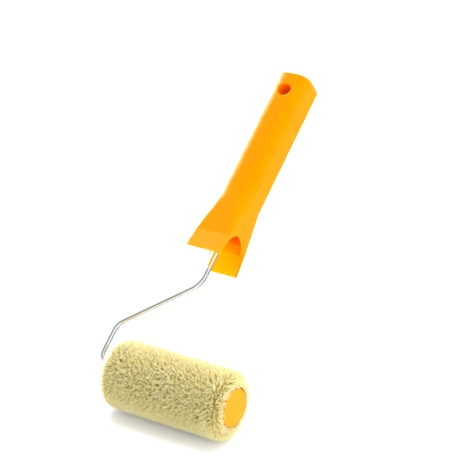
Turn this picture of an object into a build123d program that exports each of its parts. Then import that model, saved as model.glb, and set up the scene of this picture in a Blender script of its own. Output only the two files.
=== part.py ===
"""Small paint roller: a 100 mm pile cover turning on a bent 6 mm wire frame with a moulded handle.

Frame: millimetres, +Z up, +X along the roller's axis towards its free end.
The origin is on the surface being painted, at the middle of the line where the pile meets it.
The handle rises towards +Y, as it is held in use.
"""
from build123d import *
import os
from math import cos, radians, sin

# ---------------------------------------------------------------- driving dimensions
# Roller cover: plastic core, woven backing and pile
core_length = 100.0
core_outer_radius = 15.0
core_wall = 2.0
backing_thickness = 1.0
pile_height = 11.0
pile_overhang = 2.2        # how far the pile stands past each end of the core
pile_end_rounding = 4.0
handle_offset = 20.5       # from the middle of the cover back to the handle's axis

# End fittings of the cover
flange_step = 0.5          # the flanges are this much smaller in radius than the core
inner_flange_thickness = 2.5
cap_thickness = 2.8
cap_edge_rounding = 0.7
plug_depth = 12.0          # how far each bearing plug reaches along the core
plug_rim_wall = 1.4
plug_web_thickness = 2.0
hub_wall = 2.4
plug_ribs = 6
plug_rib_thickness = 1.2
cap_skirt_depth = 5.0
cap_skirt_wall = 1.4
cap_skirt_gap = 3.0        # between the cap's skirt and the outer plug

# Bent wire frame
wire_radius = 3.0
collar_gap = 3.85          # straight spindle between the collar and the bend
leg_height = 36.8          # height of the lower side bend above the roller's axis
stem_below_skirt = 20.1    # from the upper side bend up to the skirt's mouth
spindle_bend_radius = 12.0
side_bend_radius = 16.0
wire_end_to_hang_hole = 58.6
spindle_tip = 3.0          # past the push nut
spindle_tip_chamfer = 0.8

# Stops on the spindle
collar_length = 3.0
collar_wall = 1.8
washer_thickness = 0.8
washer_radius = 6.5
nut_thickness = 0.5
nut_radius = 7.0
nut_teeth = 6
nut_slot_width = 1.0
nut_slot_depth = 1.6

# Handle, from its mouth up: skirt, shoulder and grip
handle_rise = 39.0         # degrees between the handle's axis and the ground
grip_half_width = 15.0
grip_half_depth = 16.8
grip_corner_radius = 11.3
skirt_flare = 4.0          # the mouth stands this much past the grip, front and back
crease_flare = 1.1
skirt_corner_radius = 0.8
skirt_height = 106.4       # from the roller's axis up to the mouth, along the handle's axis
skirt_length = 17.1
shoulder_length = 34.8
grip_length = 115.6
top_rounding = 2.0
handle_wall = 2.2
skirt_wall = 1.2
arch_margin = 2.2          # from the arch's feet to the outside of the skirt
arch_rise = 24.6

# Inside the handle
socket_wall = 2.5
socket_recess = 30.6       # from the mouth up to the socket
socket_floor = 4.0
socket_web_thickness = 1.8
socket_web_step = 6.0      # from the socket's mouth up to its webs

# Hang hole and grip grooves
hang_hole_radius = 5.5
hang_hole_from_top = 16.9
hang_hole_wall = 2.0
hang_hole_rounding = 0.6
groove_count = 6
groove_from_neck = 18.7
groove_to_hang_hole = 24.0
groove_arc_radius = 21.0
groove_width = 0.7
groove_depth = 0.28
groove_front_gap = 5.0     # smooth half width left down the middle of the front and back

# Clearances
bearing_clearance = 0.06   # radial, wire in its bearing plugs and washers
end_play = 0.15            # axial, between the turning plugs and the washers
push_fit = 0.02            # radial, pieces that are pressed or glued together

# ---------------------------------------------------------------- derived values
core_start = -core_length / 2
core_end = core_length / 2
core_inner_radius = core_outer_radius - core_wall
backing_inner_radius = core_outer_radius + push_fit
backing_outer_radius = backing_inner_radius + backing_thickness
pile_inner_radius = backing_outer_radius + push_fit
pile_outer_radius = pile_inner_radius + pile_height
pile_length = core_length + 2 * pile_overhang

flange_radius = core_outer_radius - flange_step
plug_radius = core_inner_radius - push_fit
bearing_radius = wire_radius + bearing_clearance
hub_radius = bearing_radius + hub_wall
inner_plug_face = core_start - inner_flange_thickness
outer_plug_end = core_end - cap_skirt_depth - cap_skirt_gap
outer_plug_start = outer_plug_end - plug_depth

inner_washer_start = inner_plug_face - end_play - washer_thickness
collar_start = inner_washer_start - collar_length
outer_washer_start = outer_plug_end + end_play
nut_start = outer_washer_start + washer_thickness
spindle_end = nut_start + nut_thickness + spindle_tip

# Heights along the handle's axis, from the roller's axis
crease_height = skirt_height + skirt_length
neck_height = crease_height + shoulder_length
top_height = neck_height + grip_length
stem_start = skirt_height - stem_below_skirt
hang_hole_height = top_height - hang_hole_from_top
wire_end_height = hang_hole_height - wire_end_to_hang_hole
socket_start = skirt_height + socket_recess
socket_web_start = socket_start + socket_web_step
socket_end = wire_end_height + socket_floor
cavity_end = top_height - handle_wall
groove_first_height = neck_height + groove_from_neck
groove_last_height = hang_hole_height - groove_to_hang_hole
groove_pitch = (groove_last_height - groove_first_height) / (groove_count - 1)

skirt_half_depth = grip_half_depth + skirt_flare
crease_half_depth = grip_half_depth + crease_flare
arch_half_width = skirt_half_depth - arch_margin
leg_offset = collar_gap + spindle_bend_radius - collar_start - handle_offset
socket_inner_radius = wire_radius + push_fit
socket_outer_radius = socket_inner_radius + socket_wall
boss_radius = hang_hole_radius + hang_hole_wall

# The roller turns about the normal of this plane.
spin = Plane(origin=(0, 0, pile_outer_radius), x_dir=(0, 1, 0), z_dir=(1, 0, 0))

# The handle's axis leaves the roller's axis upwards and back. Along this plane,
# x is across the handle, y goes to its back, and z goes up its length.
rise = radians(handle_rise)
stem = Plane(
    origin=(-handle_offset, 0, pile_outer_radius),
    x_dir=(1, 0, 0),
    z_dir=(0, cos(rise), sin(rise)),
)
stem_axis = Axis(stem.origin, stem.z_dir)


def across(height):
    """Section plane of the handle at a height along its axis."""
    return stem.offset(height)


def front(height):
    """Plane through the handle's axis, seen from its front: x across, y up its length."""
    return Plane(origin=across(height).origin, x_dir=stem.x_dir, z_dir=-stem.y_dir)


def side(height):
    """Plane through the handle's axis, seen from its side: x to its back, y up its length."""
    return Plane(origin=across(height).origin, x_dir=stem.y_dir, z_dir=stem.x_dir)


def tube(start, length, outer_radius, inner_radius, mode=Mode.ADD):
    """Adds a tube or rod on the roller's axis to the part being built, or cuts it away."""
    with BuildSketch(spin.offset(start)) as ring:
        Circle(outer_radius)
        if inner_radius > 0:
            Circle(inner_radius, mode=Mode.SUBTRACT)
    extrude(ring.sketch, amount=length, mode=mode)


def plug_body(start, web_start):
    """Adds a bearing plug: rim, hub and ribs from start, and a web that closes one end."""
    rim_inner_radius = plug_radius - plug_rim_wall
    tube(start, plug_depth, plug_radius, rim_inner_radius)
    tube(start, plug_depth, hub_radius, 0)
    tube(web_start, plug_web_thickness, plug_radius - plug_rim_wall / 2, 0)
    rib_length = rim_inner_radius - hub_radius + plug_rim_wall
    with BuildSketch(spin.offset(start)) as ribs:
        with PolarLocations(hub_radius + rib_length / 2 - plug_rim_wall / 2, plug_ribs):
            Rectangle(rib_length, plug_rib_thickness)
    extrude(ribs.sketch, amount=plug_depth)


def section(height, half_width, half_depth, corner_radius):
    """Sketches a rounded rectangle across the handle."""
    with BuildSketch(across(height)) as outline:
        RectangleRounded(2 * half_width, 2 * half_depth, corner_radius)
    return outline.sketch


def handle_form(inset, skirt_inset, top, mode=Mode.ADD):
    """Adds or cuts the handle's form, shrunk by a wall: flared skirt, shoulder and grip."""
    half_width = grip_half_width - inset
    mouth = section(skirt_height, half_width, skirt_half_depth - skirt_inset, skirt_corner_radius)
    crease = section(crease_height, half_width, crease_half_depth - inset, skirt_corner_radius)
    neck = section(neck_height, half_width, grip_half_depth - inset, grip_corner_radius - inset)
    loft([mouth, crease], ruled=True, mode=mode)
    loft([crease, neck], ruled=True, mode=mode)
    extrude(neck, amount=top - neck_height, dir=stem.z_dir, mode=mode)


# ---------------------------------------------------------------- roller cover
with BuildPart() as core_tube:
    tube(core_start, core_length, core_outer_radius, core_inner_radius)

with BuildPart() as pile_backing:
    tube(core_start, core_length, backing_outer_radius, backing_inner_radius)

with BuildPart() as pile:
    tube(core_start - pile_overhang, pile_length, pile_outer_radius, pile_inner_radius)
    rims = pile.edges().filter_by(GeomType.CIRCLE).group_by(SortBy.RADIUS)[-1]
    fillet(rims, pile_end_rounding)

# ---------------------------------------------------------------- end fittings
with BuildPart() as inner_end_plug:
    tube(inner_plug_face, inner_flange_thickness, flange_radius, 0)
    plug_body(core_start, core_start)
    tube(inner_plug_face, inner_flange_thickness + plug_depth, bearing_radius, 0, Mode.SUBTRACT)
    inner_face = inner_end_plug.faces().filter_by(Axis.X).sort_by(Axis.X)[0]
    fillet(inner_face.outer_wire().edges(), cap_edge_rounding)

with BuildPart() as outer_bearing_plug:
    plug_body(outer_plug_start, outer_plug_end - plug_web_thickness)
    tube(outer_plug_start, plug_depth, bearing_radius, 0, Mode.SUBTRACT)

with BuildPart() as outer_end_cap:
    tube(core_end, cap_thickness, flange_radius, 0)
    tube(core_end - cap_skirt_depth, cap_skirt_depth, plug_radius, plug_radius - cap_skirt_wall)
    cap_face = outer_end_cap.faces().filter_by(Axis.X).sort_by(Axis.X)[-1]
    fillet(cap_face.edges(), cap_edge_rounding)

# ---------------------------------------------------------------- wire frame and its stops
with BuildPart() as wire_frame:
    with BuildLine(front(0)) as wire_path:
        FilletPolyline(
            (handle_offset + spindle_end, 0),
            (-leg_offset, 0),
            (-leg_offset, leg_height),
            (0, stem_start),
            (0, wire_end_height),
            radius=[spindle_bend_radius, side_bend_radius, side_bend_radius],
        )
    with BuildSketch(spin.offset(spindle_end)):
        Circle(wire_radius)
    sweep(path=wire_path.line)
    tip = wire_frame.faces().sort_by(Axis.X)[-1]
    chamfer(tip.edges(), spindle_tip_chamfer)

with BuildPart() as stop_collar:
    tube(collar_start, collar_length, wire_radius + push_fit + collar_wall, wire_radius + push_fit)

with BuildPart() as inner_washer:
    tube(inner_washer_start, washer_thickness, washer_radius, bearing_radius)

with BuildPart() as outer_washer:
    tube(outer_washer_start, washer_thickness, washer_radius, bearing_radius)

with BuildPart() as push_nut:
    nut_bore = wire_radius + push_fit
    tube(nut_start, nut_thickness, nut_radius, nut_bore)
    with BuildSketch(spin.offset(nut_start)):
        with PolarLocations(nut_bore, nut_teeth):
            Rectangle(2 * nut_slot_depth, nut_slot_width)
    extrude(amount=nut_thickness, mode=Mode.SUBTRACT)

# ---------------------------------------------------------------- handle
# A skin as deep as the grooves, kept only where the groove arcs cross the grip's two sides.
with BuildPart(mode=Mode.PRIVATE) as groove_cutter:
    outside = section(neck_height, grip_half_width + groove_width, grip_half_depth + groove_width,
                      grip_corner_radius + groove_width)
    groove_floor = section(neck_height, grip_half_width - groove_depth,
                           grip_half_depth - groove_depth, grip_corner_radius - groove_depth)
    extrude(outside, amount=grip_length, dir=stem.z_dir)
    extrude(groove_floor, amount=grip_length, dir=stem.z_dir, mode=Mode.SUBTRACT)
    with BuildSketch(across(neck_height)):
        Rectangle(2 * groove_front_gap, 2 * (grip_half_depth + groove_width))
    extrude(amount=grip_length, mode=Mode.SUBTRACT)
    with BuildSketch(side(groove_first_height + groove_arc_radius)) as arcs:
        for turn in range(groove_count):
            with BuildSketch(mode=Mode.PRIVATE) as arc:
                Circle(groove_arc_radius + groove_width / 2)
                Circle(groove_arc_radius - groove_width / 2, mode=Mode.SUBTRACT)
                with Locations((0, groove_arc_radius)):
                    Rectangle(4 * groove_arc_radius, 2 * groove_arc_radius, mode=Mode.SUBTRACT)
            with Locations((0, turn * groove_pitch)):
                add(arc.sketch)
    extrude(arcs.sketch, amount=grip_half_width + groove_width, both=True, mode=Mode.INTERSECT)

with BuildPart() as handle_shell:
    handle_form(0, 0, top_height)
    top_face = handle_shell.faces().sort_by(stem_axis)[-1]
    fillet(top_face.edges(), top_rounding)
    handle_form(handle_wall, skirt_wall, cavity_end, Mode.SUBTRACT)
    # The arches between the front and back of the skirt
    with BuildSketch(side(skirt_height)):
        Ellipse(arch_half_width, arch_rise)
    extrude(amount=2 * grip_half_width, both=True, mode=Mode.SUBTRACT)
    # The socket that grips the wire, held by four webs
    with BuildSketch(across(socket_start)):
        Circle(socket_outer_radius)
    extrude(amount=socket_end - socket_start)
    with BuildSketch(across(socket_web_start)):
        Rectangle(2 * grip_half_width - handle_wall, socket_web_thickness)
        Rectangle(socket_web_thickness, 2 * grip_half_depth - handle_wall)
    extrude(amount=socket_end - socket_web_start)
    with BuildSketch(across(socket_start)):
        Circle(socket_inner_radius)
    extrude(amount=wire_end_height - socket_start, mode=Mode.SUBTRACT)
    # The hang hole, and the tube around it inside the grip
    with BuildSketch(front(hang_hole_height)):
        Circle(boss_radius)
    extrude(amount=grip_half_depth - handle_wall / 2, both=True)
    with BuildSketch(front(hang_hole_height)):
        Circle(hang_hole_radius)
    extrude(amount=2 * grip_half_depth, both=True, mode=Mode.SUBTRACT)
    fillet(handle_shell.edges(Select.LAST), hang_hole_rounding)
    add(groove_cutter.part, mode=Mode.SUBTRACT)

# ---------------------------------------------------------------- files
pieces = {
    "handle_shell": handle_shell,
    "wire_frame": wire_frame,
    "stop_collar": stop_collar,
    "inner_washer": inner_washer,
    "outer_washer": outer_washer,
    "push_nut": push_nut,
    "core_tube": core_tube,
    "pile_backing": pile_backing,
    "pile": pile,
    "inner_end_plug": inner_end_plug,
    "outer_bearing_plug": outer_bearing_plug,
    "outer_end_cap": outer_end_cap,
}
os.makedirs("parts", exist_ok=True)
for name, piece in pieces.items():
    piece.part.label = name
    export_step(piece.part, f"parts/{name}.step")
    print(name, len(piece.part.solids()), "solid,", round(piece.part.volume), "mm3")
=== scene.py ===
# %% [markdown]
# # A small paint roller
#
# A pile cover turns on a bent steel wire, and a hollow plastic handle holds the wire.
# The exact shapes come from a CAD model that is loaded first and never moved. Blender
# adds what CAD leaves out: the soft pile, the finishes, the light and the camera.

# %% Load the CAD frame
import math

import bpy
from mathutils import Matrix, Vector, noise


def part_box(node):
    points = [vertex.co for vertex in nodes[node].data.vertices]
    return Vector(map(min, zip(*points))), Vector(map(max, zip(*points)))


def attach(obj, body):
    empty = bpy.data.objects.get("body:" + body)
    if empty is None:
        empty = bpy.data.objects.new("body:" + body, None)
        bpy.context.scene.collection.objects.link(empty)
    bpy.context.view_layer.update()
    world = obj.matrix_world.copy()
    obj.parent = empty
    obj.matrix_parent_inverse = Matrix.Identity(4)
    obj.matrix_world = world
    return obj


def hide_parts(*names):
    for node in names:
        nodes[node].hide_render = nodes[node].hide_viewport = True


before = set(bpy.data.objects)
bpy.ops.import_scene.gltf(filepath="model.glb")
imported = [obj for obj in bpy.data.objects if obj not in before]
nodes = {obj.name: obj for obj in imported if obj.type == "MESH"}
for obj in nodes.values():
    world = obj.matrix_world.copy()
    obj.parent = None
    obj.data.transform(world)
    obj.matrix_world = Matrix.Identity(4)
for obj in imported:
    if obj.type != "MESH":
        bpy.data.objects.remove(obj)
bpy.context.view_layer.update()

MM = 0.001
print("CAD nodes:", ", ".join(sorted(nodes)))

# %% [markdown]
# ## The camera
#
# A long lens from a metre and a half away keeps the handle and the cover in proportion,
# as a catalogue picture does. The camera is placed by an azimuth, an elevation and a
# distance from a point it looks at, so that each can be changed by itself.

# %% Place the camera
look_at = Vector((-0.01075, 0.10116, 0.11159))
azimuth = math.radians(32.14)
elevation = math.radians(24.12)
distance = 1.44564
focal_length = 144.22

camera = bpy.data.objects.new("camera", bpy.data.cameras.new("camera"))
bpy.context.collection.objects.link(camera)
towards_camera = Vector((
    math.sin(azimuth) * math.cos(elevation),
    -math.cos(azimuth) * math.cos(elevation),
    math.sin(elevation),
))
camera.location = look_at + distance * towards_camera
camera.rotation_euler = towards_camera.to_track_quat("Z", "Y").to_euler()
camera.data.lens = focal_length
camera.data.sensor_width = 36
camera.data.clip_end = 50
bpy.context.scene.camera = camera
bpy.context.scene.view_settings.view_transform = "Standard"
print("Camera at", [round(v, 3) for v in camera.location])

# %% [markdown]
# ## A helper for nodes
#
# Materials, the world and Geometry Nodes are all trees of nodes. This helper adds one
# node, sets its options, and fills its inputs with numbers or with links from other
# nodes, so a tree can be read from top to bottom like a recipe.

# %% Define the node helper
def node(tree, kind, inputs={}, **options):
    """Adds a node, sets its options, and gives its inputs values or links."""
    made = tree.nodes.new(kind)
    for name, value in options.items():
        setattr(made, name, value)
    for name, value in inputs.items():
        if isinstance(value, bpy.types.NodeSocket):
            tree.links.new(value, made.inputs[name])
        else:
            made.inputs[name].default_value = value
    return made


def number(tree, operation, first, second=0.0):
    """One step of arithmetic on numbers."""
    made = node(tree, "ShaderNodeMath", {0: first, 1: second}, operation=operation)
    return made.outputs[0]


def ranged(tree, value, from_low, from_high, to_low, to_high, smooth=False):
    """Maps a number from one range to another."""
    made = node(tree, "ShaderNodeMapRange", {
        "Value": value, "From Min": from_low, "From Max": from_high,
        "To Min": to_low, "To Max": to_high,
    }, interpolation_type="SMOOTHSTEP" if smooth else "LINEAR")
    return made.outputs[0]


def along(tree, vector, direction):
    """How far a vector points along a fixed direction."""
    made = node(tree, "ShaderNodeVectorMath", {0: vector, 1: Vector(direction).normalized()},
                operation="DOT_PRODUCT")
    return made.outputs["Value"]

# %% [markdown]
# ## The studio light
#
# Product studios wrap an object in soft white light. A sun lamp with a wide angle acts as
# a softbox as large as a wall, and lights the floor evenly all the way to its edges. A
# slightly cool one comes from above, a cooler one from low behind picks out the top of the
# pile, and a slightly warm one comes from the right. The world fills the rest.

# %% Hang the lamps
def softbox(name, direction, strength, angle, colour):
    """A very wide sun lamp that shines from a direction."""
    lamp = bpy.data.objects.new(name, bpy.data.lights.new(name, "SUN"))
    bpy.context.collection.objects.link(lamp)
    lamp.data.energy = strength
    lamp.data.angle = math.radians(angle)
    lamp.data.color = colour
    lamp.rotation_euler = Vector(direction).to_track_quat("Z", "Y").to_euler()
    lamp.visible_glossy = False
    return lamp


lamps = [
    softbox("top_softbox", (-0.1, 0.42, 0.92), 4.5, 60, (0.99, 1.0, 1.2)),
    softbox("back_softbox", (-0.25, 0.95, 0.3), 1.9, 40, (0.92, 1.0, 2.6)),
    softbox("right_softbox", (1.0, -0.25, 0.35), 2.6, 60, (1.0, 0.98, 0.88)),
]
print("Lamps:", [lamp.name for lamp in lamps])

# %% [markdown]
# ## What the shiny parts mirror
#
# Chrome shows its surroundings and nothing else. A white room with one dark gap above the
# camera gives bright wire the thin dark line that makes it look like metal. A brighter wall
# at the back left lights up the handle's edge, and a dim one low on the right keeps its
# other side a pure colour. Only mirror rays see this room. The camera sees plain white,
# and soft rays see an even grey.

# %% Paint the world
fill_light = 0.78
room_light = 1.25
back_left_wall = 26.0
right_wall = 0.3
gap_light = 0.05
towards_back_left = (-0.85, 0.5, 0.1)
towards_low_right = (0.49, 0.77, -0.41)
across_the_gap = (-0.874, -0.154, 0.461)
towards_gap_side = (0.4, -0.6, 0.6)

world = bpy.data.worlds.new("studio")
bpy.context.scene.world = world
world.use_nodes = True
tree = world.node_tree
tree.nodes.clear()
ray = node(tree, "ShaderNodeLightPath").outputs
looking = node(tree, "ShaderNodeTexCoord").outputs["Generated"]
bright_wall = ranged(tree, along(tree, looking, towards_back_left), 0.35, 0.85, room_light,
                     back_left_wall, smooth=True)
dimming = ranged(tree, along(tree, looking, towards_low_right), 0.6, 0.9,
                 1.0, right_wall / room_light, smooth=True)
walls = number(tree, "MULTIPLY", bright_wall, dimming)
from_gap = number(tree, "ABSOLUTE", along(tree, looking, across_the_gap))
outside_gap = ranged(tree, from_gap, 0.08, 0.34, 0.0, 1.0, smooth=True)
other_side = ranged(tree, along(tree, looking, towards_gap_side), 0.25, 0.6, 1.0, 0.0,
                    smooth=True)
open_room = number(tree, "MAXIMUM", outside_gap, other_side)
mirrored = number(tree, "MULTIPLY", walls, ranged(tree, open_room, 0.0, 1.0, gap_light, 1.0))
soft_or_mirror = node(tree, "ShaderNodeMix", {
    0: ray["Is Glossy Ray"], 2: fill_light, 3: mirrored})
seen = node(tree, "ShaderNodeMix", {
    0: ray["Is Camera Ray"], 2: soft_or_mirror.outputs[0], 3: 1.0})
background = node(tree, "ShaderNodeBackground", {"Strength": seen.outputs[0]})
node(tree, "ShaderNodeOutputWorld", {"Surface": background.outputs[0]})
print("World:", len(tree.nodes), "nodes")

# %% [markdown]
# ## The floor
#
# A pale floor catches the short, soft shadow where the pile rests. It is lit well past
# white, so only the darkest part of that shadow is seen. Mirror rays pass through it, so
# that the wire mirrors the white room below as well as above. Its finish follows with the
# helpers for finishes.

# %% Lay the floor
floor_half_width = 6.0
corners = [(x * floor_half_width, y * floor_half_width, 0.0)
           for x, y in ((-1, -1), (1, -1), (1, 1), (-1, 1))]
floor_mesh = bpy.data.meshes.new("floor")
floor_mesh.from_pydata(corners, [], [(0, 1, 2, 3)])
floor = bpy.data.objects.new("floor", floor_mesh)
bpy.context.collection.objects.link(floor)
floor.visible_glossy = False

# %% [markdown]
# ## Helpers for finishes
#
# Every finish starts from the Principled shader. Its fixed values, such as gloss, are set
# on the shader itself, and its patterns are noise on Object coordinates, which stay with
# the piece when it moves. Fine bumps are given their true height in metres.

# %% Define the finish helpers
def finish_of(name, roughness, **fixed):
    """A new material with a Principled shader, and its tree."""
    material = bpy.data.materials.new(name)
    material.use_nodes = True
    shader = material.node_tree.nodes["Principled BSDF"]
    shader.inputs["Roughness"].default_value = roughness
    for socket, value in fixed.items():
        shader.inputs[socket.replace("_", " ")].default_value = value
    return material, material.node_tree, shader


def grain(tree, scale, detail=2.0, stretch=None):
    """Noise with a number of lumps per metre, which may be stretched along an axis."""
    place = node(tree, "ShaderNodeTexCoord").outputs["Object"]
    if stretch:
        place = node(tree, "ShaderNodeVectorMath", {0: place, 1: stretch},
                     operation="MULTIPLY").outputs[0]
    made = node(tree, "ShaderNodeTexNoise", {"Vector": place, "Scale": scale, "Detail": detail})
    return made.outputs["Fac"]


def colours(tree, amount, first, second):
    """Blends two colours, given or linked, by an amount from 0 to 1."""
    first, second = (colour if isinstance(colour, bpy.types.NodeSocket) else (*colour, 1)
                     for colour in (first, second))
    made = node(tree, "ShaderNodeMix", {0: amount, 6: first, 7: second}, data_type="RGBA")
    return made.outputs[2]


def bumps(tree, shader, height, distance, strength=1.0):
    """Gives a surface bumps of a true height."""
    made = node(tree, "ShaderNodeBump", {"Height": height, "Distance": distance,
                                         "Strength": strength})
    tree.links.new(made.outputs[0], shader.inputs["Normal"])


def wear(material, *names):
    """Puts a finish on CAD nodes, in all their material slots."""
    for name in names:
        piece = nodes[name]
        if not piece.material_slots:
            piece.data.materials.append(material)
        for slot in piece.material_slots:
            slot.material = material
    print(material.name, "->", ", ".join(names))


floor_paint, tree, shader = finish_of(
    "floor_paint", 0.9, Emission_Color=(0.82, 0.9, 1, 1), Emission_Strength=0.17)
tint = colours(tree, grain(tree, 3.0), (0.9, 0.9, 0.9), (0.93, 0.93, 0.93))
tree.links.new(tint, shader.inputs["Base Color"])
floor.data.materials.append(floor_paint)

# %% [markdown]
# ## Handle plastic
#
# The handle is moulded polypropylene: a warm yellow that light enters a little way, under
# a skin with a fine, even texture from the mould. The colour is nearly pure, so bright
# light turns it from orange towards yellow by itself. Its reflections are tinted yellow
# face on, and stay white along the edges.
#
# The skirt's inner faces get a lighter, more yellow base colour than the outside. This is
# painted light, standing in for light that comes through the thin wall. They are found by
# their place: heights and depths are measured along the handle, and anything nearer to its
# middle than a line inside the wall is an inner face.

# %% Measure along the handle
lean = math.radians(39)
stem_up = (0.0, math.cos(lean), math.sin(lean))
stem_back = (0.0, math.sin(lean), -math.cos(lean))
axle_height = 27.04 * MM
skirt_mouth = 106.4 * MM + axle_height * math.sin(lean)
axle_back = -axle_height * math.cos(lean)
stem_left = 20.5 * MM

wall_line_at_mouth = 20.2 * MM
wall_line_higher = 16.3 * MM
wall_line_slope = 0.2
wall_blend = 0.2 * MM
skirt_top, skirt_top_end = 24.0 * MM, 27.0 * MM
side_wall, side_wall_end = 13.6 * MM, 14.2 * MM
print("Skirt's mouth:", round(skirt_mouth / MM, 1), "mm up the handle from the floor")

# %% Finish the handle
handle_plastic, tree, shader = finish_of(
    "handle_plastic", 0.3, IOR=1.49, Specular_IOR_Level=0.16,
    Specular_Tint=(1.0, 0.6, 0.06, 1.0),
    Subsurface_Weight=0.6, Subsurface_Radius=(1.0, 0.6, 0.03), Subsurface_Scale=0.006,
)
outer_colour = colours(tree, grain(tree, 45.0), (0.95, 0.215, 0.0), (0.97, 0.23, 0.0))
# Painted light: the skirt's inner faces get this lighter, yellower colour, standing in for light
# through the wall
painted_light_colour = (0.97, 0.37, 0.0)
place = node(tree, "ShaderNodeTexCoord").outputs["Object"]
up = number(tree, "SUBTRACT", along(tree, place, stem_up), skirt_mouth)
back = number(tree, "SUBTRACT", along(tree, place, stem_back), axle_back)
across = number(tree, "ADD", along(tree, place, (1, 0, 0)), stem_left)
wall_line = number(tree, "MAXIMUM", wall_line_higher, number(
    tree, "SUBTRACT", wall_line_at_mouth, number(tree, "MULTIPLY", up, wall_line_slope)))
in_from_wall = number(tree, "SUBTRACT", wall_line, number(tree, "ABSOLUTE", back))
inside = ranged(tree, in_from_wall, -wall_blend, wall_blend, 0.0, 1.0)
in_skirt = ranged(tree, up, skirt_top, skirt_top_end, 1.0, 0.0)
between_sides = ranged(tree, number(tree, "ABSOLUTE", across), side_wall, side_wall_end,
                       1.0, 0.0)
# Mask of the skirt's inner faces, where the painted light goes
inner = number(tree, "MULTIPLY", number(tree, "MULTIPLY", inside, in_skirt), between_sides)
shade = colours(tree, inner, outer_colour, painted_light_colour)
tree.links.new(shade, shader.inputs["Base Color"])
gloss = ranged(tree, grain(tree, 220.0), 0.3, 0.7, 0.19, 0.23)
tree.links.new(gloss, shader.inputs["Roughness"])
bumps(tree, shader, grain(tree, 2600.0, 3.0), 0.000008, 0.3)
wear(handle_plastic, "handle_shell")

# %% [markdown]
# ## Cap plastic
#
# The end cap and the plug are small mouldings in the same colour, with a satin face that
# shows no clear reflection and a slightly rougher skin than the handle's.

# %% Finish the caps
cap_plastic, tree, shader = finish_of(
    "cap_plastic", 0.42, IOR=1.49, Specular_IOR_Level=0.08,
    Specular_Tint=(1.0, 0.6, 0.06, 1.0),
)
shade = colours(tree, grain(tree, 90.0), (0.93, 0.25, 0.003), (0.95, 0.27, 0.004))
tree.links.new(shade, shader.inputs["Base Color"])
bumps(tree, shader, grain(tree, 3200.0, 3.0), 0.00002, 0.6)
wear(cap_plastic, "outer_end_cap", "inner_end_plug")

# %% [markdown]
# ## Bright wire
#
# The frame is steel wire with a bright zinc finish. It is nearly a mirror, with faint
# drawing marks and small changes in gloss that keep it from looking like liquid.

# %% Finish the wire
zinc_wire, tree, shader = finish_of("zinc_wire", 0.12, Metallic=1.0)
shade = colours(tree, grain(tree, 300.0), (0.80, 0.83, 0.87), (0.90, 0.92, 0.94))
tree.links.new(shade, shader.inputs["Base Color"])
gloss = ranged(tree, grain(tree, 900.0, 3.0), 0.3, 0.7, 0.07, 0.16)
tree.links.new(gloss, shader.inputs["Roughness"])
bumps(tree, shader, grain(tree, 1800.0, 3.0), 0.000006, 0.5)
wear(zinc_wire, "wire_frame", "stop_collar")

# %% [markdown]
# ## Hidden pieces
#
# The nut, the washers, the bearing plug, the core and its woven backing are seen only when
# the roller is taken apart, and the backing's edge shows as a dark ring around the cap.
# Each still gets the finish of its real material.

# %% Finish the hidden pieces
spring_steel, tree, shader = finish_of("spring_steel", 0.32, Metallic=1.0)
shade = colours(tree, grain(tree, 500.0), (0.42, 0.42, 0.44), (0.56, 0.56, 0.58))
tree.links.new(shade, shader.inputs["Base Color"])
bumps(tree, shader, grain(tree, 2500.0), 0.00001, 0.5)
wear(spring_steel, "push_nut")

nylon, tree, shader = finish_of("nylon", 0.45, Subsurface_Weight=0.1, Subsurface_Scale=0.001)
shade = colours(tree, grain(tree, 160.0), (0.83, 0.81, 0.75), (0.89, 0.87, 0.82))
tree.links.new(shade, shader.inputs["Base Color"])
bumps(tree, shader, grain(tree, 2600.0), 0.00001, 0.5)
wear(nylon, "inner_washer", "outer_washer", "outer_bearing_plug")

core_plastic, tree, shader = finish_of("core_plastic", 0.55)
shade = colours(tree, grain(tree, 70.0), (0.30, 0.20, 0.08), (0.40, 0.28, 0.12))
tree.links.new(shade, shader.inputs["Base Color"])
bumps(tree, shader, grain(tree, 900.0, 2.0, (0.05, 1.0, 1.0)), 0.00002, 0.5)
wear(core_plastic, "core_tube")

backing_weave, tree, shader = finish_of("backing_weave", 0.9)
shade = colours(tree, grain(tree, 1500.0), (0.20, 0.13, 0.04), (0.38, 0.28, 0.12))
tree.links.new(shade, shader.inputs["Base Color"])
bumps(tree, shader, grain(tree, 1500.0), 0.0002, 0.8)
wear(backing_weave, "pile_backing")

# %% [markdown]
# ## The pile's ground
#
# Deep in the pile the yarns stand so close that they read as one dark, lumpy mass. That
# mass is a ring around the core, made by turning a rounded profile about the axle, with
# its outside pushed in and out by noise. Its dark olive colour is painted shade. It fills the
# gaps between the strands, so far fewer strands are needed than the real cover has.

# %% Build the ground ring
pile_low, pile_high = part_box("pile")
axle = Vector((0.0, (pile_low.y + pile_high.y) / 2, (pile_low.z + pile_high.z) / 2))
pile_radius = (pile_high.z - pile_low.z) / 2
pile_half_length = (pile_high.x - pile_low.x) / 2
_, backing_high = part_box("pile_backing")
backing_radius = backing_high.z - axle.z
strand_length = 4.5 * MM
strand_length_at_ends = 4.4 * MM

ground_radius = pile_radius - 0.88 * strand_length
ground_half_length = pile_half_length - 0.55 * strand_length_at_ends
ground_inner_radius = backing_radius + 0.05 * MM
ground_corner = 4.5 * MM
corner_turns = (0, 30, 60, 90)
ring_steps = 70
ring_sides = 128
lump_height = 0.5 * MM
lumps_per_metre = 450
print("Pile radius", round(pile_radius / MM, 2), "mm, ground radius",
      round(ground_radius / MM, 2), "mm")


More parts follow.
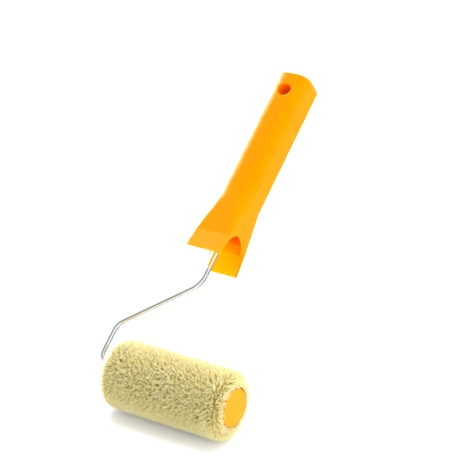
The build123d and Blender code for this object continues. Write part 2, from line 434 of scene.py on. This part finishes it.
def ground_profile(half_length, radius, corner, steps):
    """Points (x, radius) over the ring's outside, from one inner edge to the other."""
    shoulder = [(half_length - corner * (1 - math.cos(turn)),
                 radius - corner * (1 - math.sin(turn)))
                for turn in map(math.radians, corner_turns)]
    face = [(half_length, ground_inner_radius
             + (shoulder[0][1] - ground_inner_radius) * step / 3) for step in range(3)]
    run = shoulder[-1][0]
    middle = [(run - 2 * run * step / steps, radius) for step in range(1, steps)]
    half = face + shoulder
    return half + middle + [(-x, r) for x, r in reversed(half)]


def turned_ring(name, profile, sides, lumps):
    """Turns a profile about the axle and closes its bore, with a lumpy outside."""
    verts, faces = [], []
    for x, radius in profile:
        for side in range(sides):
            angle = 2 * math.pi * side / sides
            spoke = Vector((0.0, math.cos(angle), math.sin(angle)))
            place = axle + Vector((x, 0, 0)) + radius * spoke
            if radius > ground_inner_radius * 1.02:
                place += spoke * lumps * noise.noise(place * lumps_per_metre)
            verts.append(place)
    rows = len(profile)
    for row in range(rows):
        for side in range(sides):
            here, there = row * sides, (row + 1) % rows * sides
            after = (side + 1) % sides
            faces.append((here + side, there + side, there + after, here + after))
    mesh = bpy.data.meshes.new(name)
    mesh.from_pydata(verts, [], faces)
    mesh.validate()
    mesh.shade_smooth()
    ring = bpy.data.objects.new(name, mesh)
    bpy.context.collection.objects.link(ring)
    return ring


profile = ground_profile(ground_half_length, ground_radius, ground_corner, ring_steps)
pile_ground = turned_ring("pile_ground", profile, ring_sides, lump_height)
print("Ground ring:", len(pile_ground.data.polygons), "faces")

# %% [markdown]
# ## Pile finish
#
# The yarn is cream. The olive and straw further down each strand is painted shade: each
# strand carries its own height from root to tip, so one material can darken every root. Slow
# noise makes some tufts straw yellow and others nearly white.

# %% Finish the pile
painted_root_shade = (0.26, 0.17, 0.012)
straw = (0.93, 0.76, 0.15)
cream = (0.96, 0.87, 0.34)
pale_cream = (0.98, 0.94, 0.68)

pile_fibre, tree, shader = finish_of(
    "pile_fibre", 0.8, Sheen_Weight=0.2, Sheen_Roughness=0.3, Specular_IOR_Level=0.2,
    Subsurface_Weight=0.35, Subsurface_Radius=(1.0, 0.8, 0.4), Subsurface_Scale=0.0008,
)
height = node(tree, "ShaderNodeAttribute", attribute_name="height").outputs["Fac"]
tuft = ranged(tree, grain(tree, 420.0, 3.0), 0.35, 0.65, 0.0, 1.0)
tip = colours(tree, tuft, cream, pale_cream)
middle = colours(tree, tuft, straw, cream)
# Painted shade: darker and more olive towards each strand's root
low = colours(tree, ranged(tree, height, 0.0, 0.55, 0.0, 1.0), painted_root_shade, middle)
yarn_with_painted_shade = colours(tree, ranged(tree, height, 0.45, 0.95, 0.0, 1.0), low, tip)
tree.links.new(yarn_with_painted_shade, shader.inputs["Base Color"])
bumps(tree, shader, grain(tree, 4000.0), 0.00003, 0.5)

# Painted shade: the ground ring's dark olive stands for the shade deep in the pile
painted_depth_shade, tree, shader = finish_of("painted_depth_shade", 0.95)
shade = colours(tree, grain(tree, 700.0), (0.26, 0.17, 0.02), (0.44, 0.32, 0.07))
tree.links.new(shade, shader.inputs["Base Color"])
bumps(tree, shader, grain(tree, 1400.0), 0.0003, 0.8)
pile_ground.data.materials.append(painted_depth_shade)

# %% [markdown]
# ## A tree that grows the strands
#
# Thousands of like strands that follow a surface are what Geometry Nodes are for. Points
# are scattered on the ground ring, and each gets one of three bent strands. The strand
# leans towards the middle of its cell in a Voronoi pattern, which gathers neighbours into
# tufts with gaps between them, as cut yarn does.

# %% Build the strand tree
strand_bends = (0.05, 0.16, 0.28)
tip_thickness = 0.45     # as a share of the root's
shortest_strand = 0.88   # as a share of the longest


def strand_tree():
    """Geometry Nodes that plant tapered strands on a mesh."""
    tree = bpy.data.node_groups.new("pile_strands", "GeometryNodeTree")
    tree.is_modifier = True
    for name, kind in (("Geometry", "NodeSocketGeometry"), ("Spacing", "NodeSocketFloat"),
                       ("Length", "NodeSocketFloat"), ("End Length", "NodeSocketFloat"),
                       ("Thickness", "NodeSocketFloat"), ("Tuft Size", "NodeSocketFloat"),
                       ("Gathering", "NodeSocketFloat"), ("Untidiness", "NodeSocketFloat"),
                       ("Seed", "NodeSocketInt"), ("Material", "NodeSocketMaterial")):
        tree.interface.new_socket(name=name, in_out="INPUT", socket_type=kind)
    tree.interface.new_socket(name="Geometry", in_out="OUTPUT", socket_type="NodeSocketGeometry")
    given = node(tree, "NodeGroupInput").outputs

    def vector(operation, first, second, scale=None):
        inputs = {0: first, "Scale": scale} if operation == "SCALE" else {0: first, 1: second}
        made = node(tree, "ShaderNodeVectorMath", inputs, operation=operation)
        return made.outputs["Value" if operation == "DOT_PRODUCT" else "Vector"]

    # Scattered roots, and how long a strand is at each
    closest = number(tree, "MULTIPLY", given["Spacing"], given["Spacing"])
    density = number(tree, "DIVIDE", 1.6, closest)
    roots = node(tree, "GeometryNodeDistributePointsOnFaces", {
        "Mesh": given["Geometry"], "Distance Min": given["Spacing"], "Density Max": density,
        "Seed": given["Seed"],
    }, distribute_method="POISSON").outputs
    outward = roots["Normal"]
    endways = number(tree, "ABSOLUTE", along(tree, outward, (1, 0, 0)))
    length = node(tree, "ShaderNodeMix", {0: endways, 2: given["Length"],
                                          3: given["End Length"]}).outputs[0]

    # Lean each strand towards the middle of its tuft
    place = node(tree, "GeometryNodeInputPosition").outputs[0]
    cells = number(tree, "DIVIDE", 1.0, given["Tuft Size"])
    middle = node(tree, "ShaderNodeTexVoronoi", {"Vector": place, "Scale": cells})
    to_middle = vector("SUBTRACT", middle.outputs["Position"], place)
    sideways = vector("SUBTRACT", to_middle, vector(
        "SCALE", outward, None, vector("DOT_PRODUCT", to_middle, outward)))
    gathered = vector("SCALE", sideways, None, given["Gathering"])
    stray = node(tree, "FunctionNodeRandomValue", {
        0: (-1, -1, -1), 1: (1, 1, 1), "Seed": given["Seed"]}, data_type="FLOAT_VECTOR")
    strayed = vector("SCALE", stray.outputs[0], None,
                     number(tree, "MULTIPLY", length, given["Untidiness"]))
    heading = vector("ADD", vector("ADD", vector("SCALE", outward, None, length), gathered),
                     strayed)

    # Three bent strands, one metre long until they are scaled
    strands = node(tree, "GeometryNodeGeometryToInstance")
    profile = node(tree, "GeometryNodeCurvePrimitiveCircle", {"Resolution": 3, "Radius": 1.0})
    for bend in strand_bends:
        line = node(tree, "GeometryNodeCurveQuadraticBezier", {
            "Resolution": 2, "Start": (0, 0, 0), "Middle": (bend, 0, 0.6),
            "End": (-0.3 * bend, 0, 1)}).outputs[0]
        rise = node(tree, "GeometryNodeSplineParameter").outputs["Factor"]
        marked = node(tree, "GeometryNodeStoreNamedAttribute", {
            "Geometry": line, "Name": "height", "Value": rise},
            data_type="FLOAT", domain="POINT").outputs[0]
        taper = ranged(tree, rise, 0.0, 1.0, 1.0, tip_thickness)
        strand = node(tree, "GeometryNodeCurveToMesh", {
            "Curve": marked, "Profile Curve": profile.outputs[0], "Fill Caps": True,
            "Scale": number(tree, "MULTIPLY", taper,
                            number(tree, "DIVIDE", given["Thickness"], given["Length"]))})
        tree.links.new(strand.outputs[0], strands.inputs[0])

    # Plant them
    def chance(kind, low, high, offset):
        first = {"FLOAT": 2, "INT": 4}[kind]
        seed = number(tree, "ADD", given["Seed"], float(offset))
        made = node(tree, "FunctionNodeRandomValue", {first: low, first + 1: high, "Seed": seed},
                    data_type=kind)
        return made.outputs[{"FLOAT": 1, "INT": 2}[kind]]

    facing = node(tree, "FunctionNodeAlignRotationToVector", {"Vector": heading}, axis="Z")
    twist = node(tree, "FunctionNodeAxisAngleToRotation", {
        "Axis": (0, 0, 1), "Angle": chance("FLOAT", 0.0, 2 * math.pi, 1)})
    turned = node(tree, "FunctionNodeRotateRotation", {
        "Rotation": facing.outputs[0], "Rotate By": twist.outputs[0]}, rotation_space="LOCAL")
    tall = number(tree, "MULTIPLY", length, chance("FLOAT", shortest_strand, 1.0, 2))
    size = node(tree, "ShaderNodeCombineXYZ", {0: given["Length"], 1: given["Length"], 2: tall})
    planted = node(tree, "GeometryNodeInstanceOnPoints", {
        "Points": roots["Points"], "Instance": strands.outputs[0], "Pick Instance": True,
        "Instance Index": chance("INT", 0, len(strand_bends) - 1, 3),
        "Rotation": turned.outputs[0], "Scale": size.outputs[0]})
    real = node(tree, "GeometryNodeRealizeInstances", {"Geometry": planted.outputs[0]})
    smooth = node(tree, "GeometryNodeSetShadeSmooth", {"Geometry": real.outputs[0]})
    dressed = node(tree, "GeometryNodeSetMaterial", {
        "Geometry": smooth.outputs[0], "Material": given["Material"]})
    node(tree, "NodeGroupOutput", {"Geometry": dressed.outputs[0]})
    return tree


pile_tree = strand_tree()
print("Strand tree:", len(pile_tree.nodes), "nodes")

# %% [markdown]
# ## Grow the pile
#
# The tree runs on five lengths of the ground ring in turn, which keeps every mesh light
# enough to edit and to export. Its result is turned into a plain mesh, because instances
# and modifiers don't travel to other programs.

# %% Grow the strands
pile_sections = 5
first_seed = 11
bare_rim = 0.35 * MM     # no strands this close to the bore
strand_settings = {
    "Spacing": 0.52 * MM, "Length": strand_length, "End Length": strand_length_at_ends,
    "Thickness": 0.25 * MM, "Tuft Size": 1.4 * MM, "Gathering": 0.7, "Untidiness": 0.55,
    "Material": pile_fibre,
}


def growing_surface(name, low, high):
    """The ground ring's outside between two places along the axle."""
    source = pile_ground.data
    inner = ground_inner_radius + bare_rim
    kept = []
    for face in source.polygons:
        middle = face.center
        from_axle = math.hypot(middle.y - axle.y, middle.z - axle.z)
        if low <= middle.x < high and from_axle > inner:
            kept.append(tuple(face.vertices))
    used = sorted({vertex for face in kept for vertex in face})
    place = {vertex: index for index, vertex in enumerate(used)}
    mesh = bpy.data.meshes.new(name)
    mesh.from_pydata([source.vertices[vertex].co for vertex in used], [],
                     [tuple(place[vertex] for vertex in face) for face in kept])
    return mesh


def grow(name, low, high, seed):
    """Runs the strand tree on one length of the cover and keeps its mesh."""
    soil = bpy.data.objects.new(name + "_soil", growing_surface(name + "_soil", low, high))
    bpy.context.collection.objects.link(soil)
    modifier = soil.modifiers.new("strands", "NODES")
    modifier.node_group = pile_tree
    settings = dict(strand_settings, Seed=seed)
    for item in pile_tree.interface.items_tree:
        if item.in_out == "INPUT" and item.name in settings:
            modifier[item.identifier] = settings[item.name]
    seen = soil.evaluated_get(bpy.context.evaluated_depsgraph_get())
    mesh = bpy.data.meshes.new_from_object(seen)
    mesh.name = name
    soil.modifiers.remove(modifier)
    bpy.data.objects.remove(soil)
    grown = bpy.data.objects.new(name, mesh)
    bpy.context.collection.objects.link(grown)
    return grown


just_past_end = ground_half_length * 1.01
edges = [just_past_end * (2 * index / pile_sections - 1) for index in range(pile_sections + 1)]
pile_pieces = [pile_ground]
for index in range(pile_sections):
    grown = grow(f"pile_strands_{index + 1}", edges[index], edges[index + 1],
                 first_seed + index)
    pile_pieces.append(grown)
    triangles = sum(len(face.vertices) - 2 for face in grown.data.polygons)
    reach = max(math.hypot(v.co.y - axle.y, v.co.z - axle.z) for v in grown.data.vertices)
    print(grown.name, triangles, "triangles, reaches", round(reach / MM, 2), "mm")

for piece in pile_pieces:
    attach(piece, "roller_cover")
    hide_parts("pile")
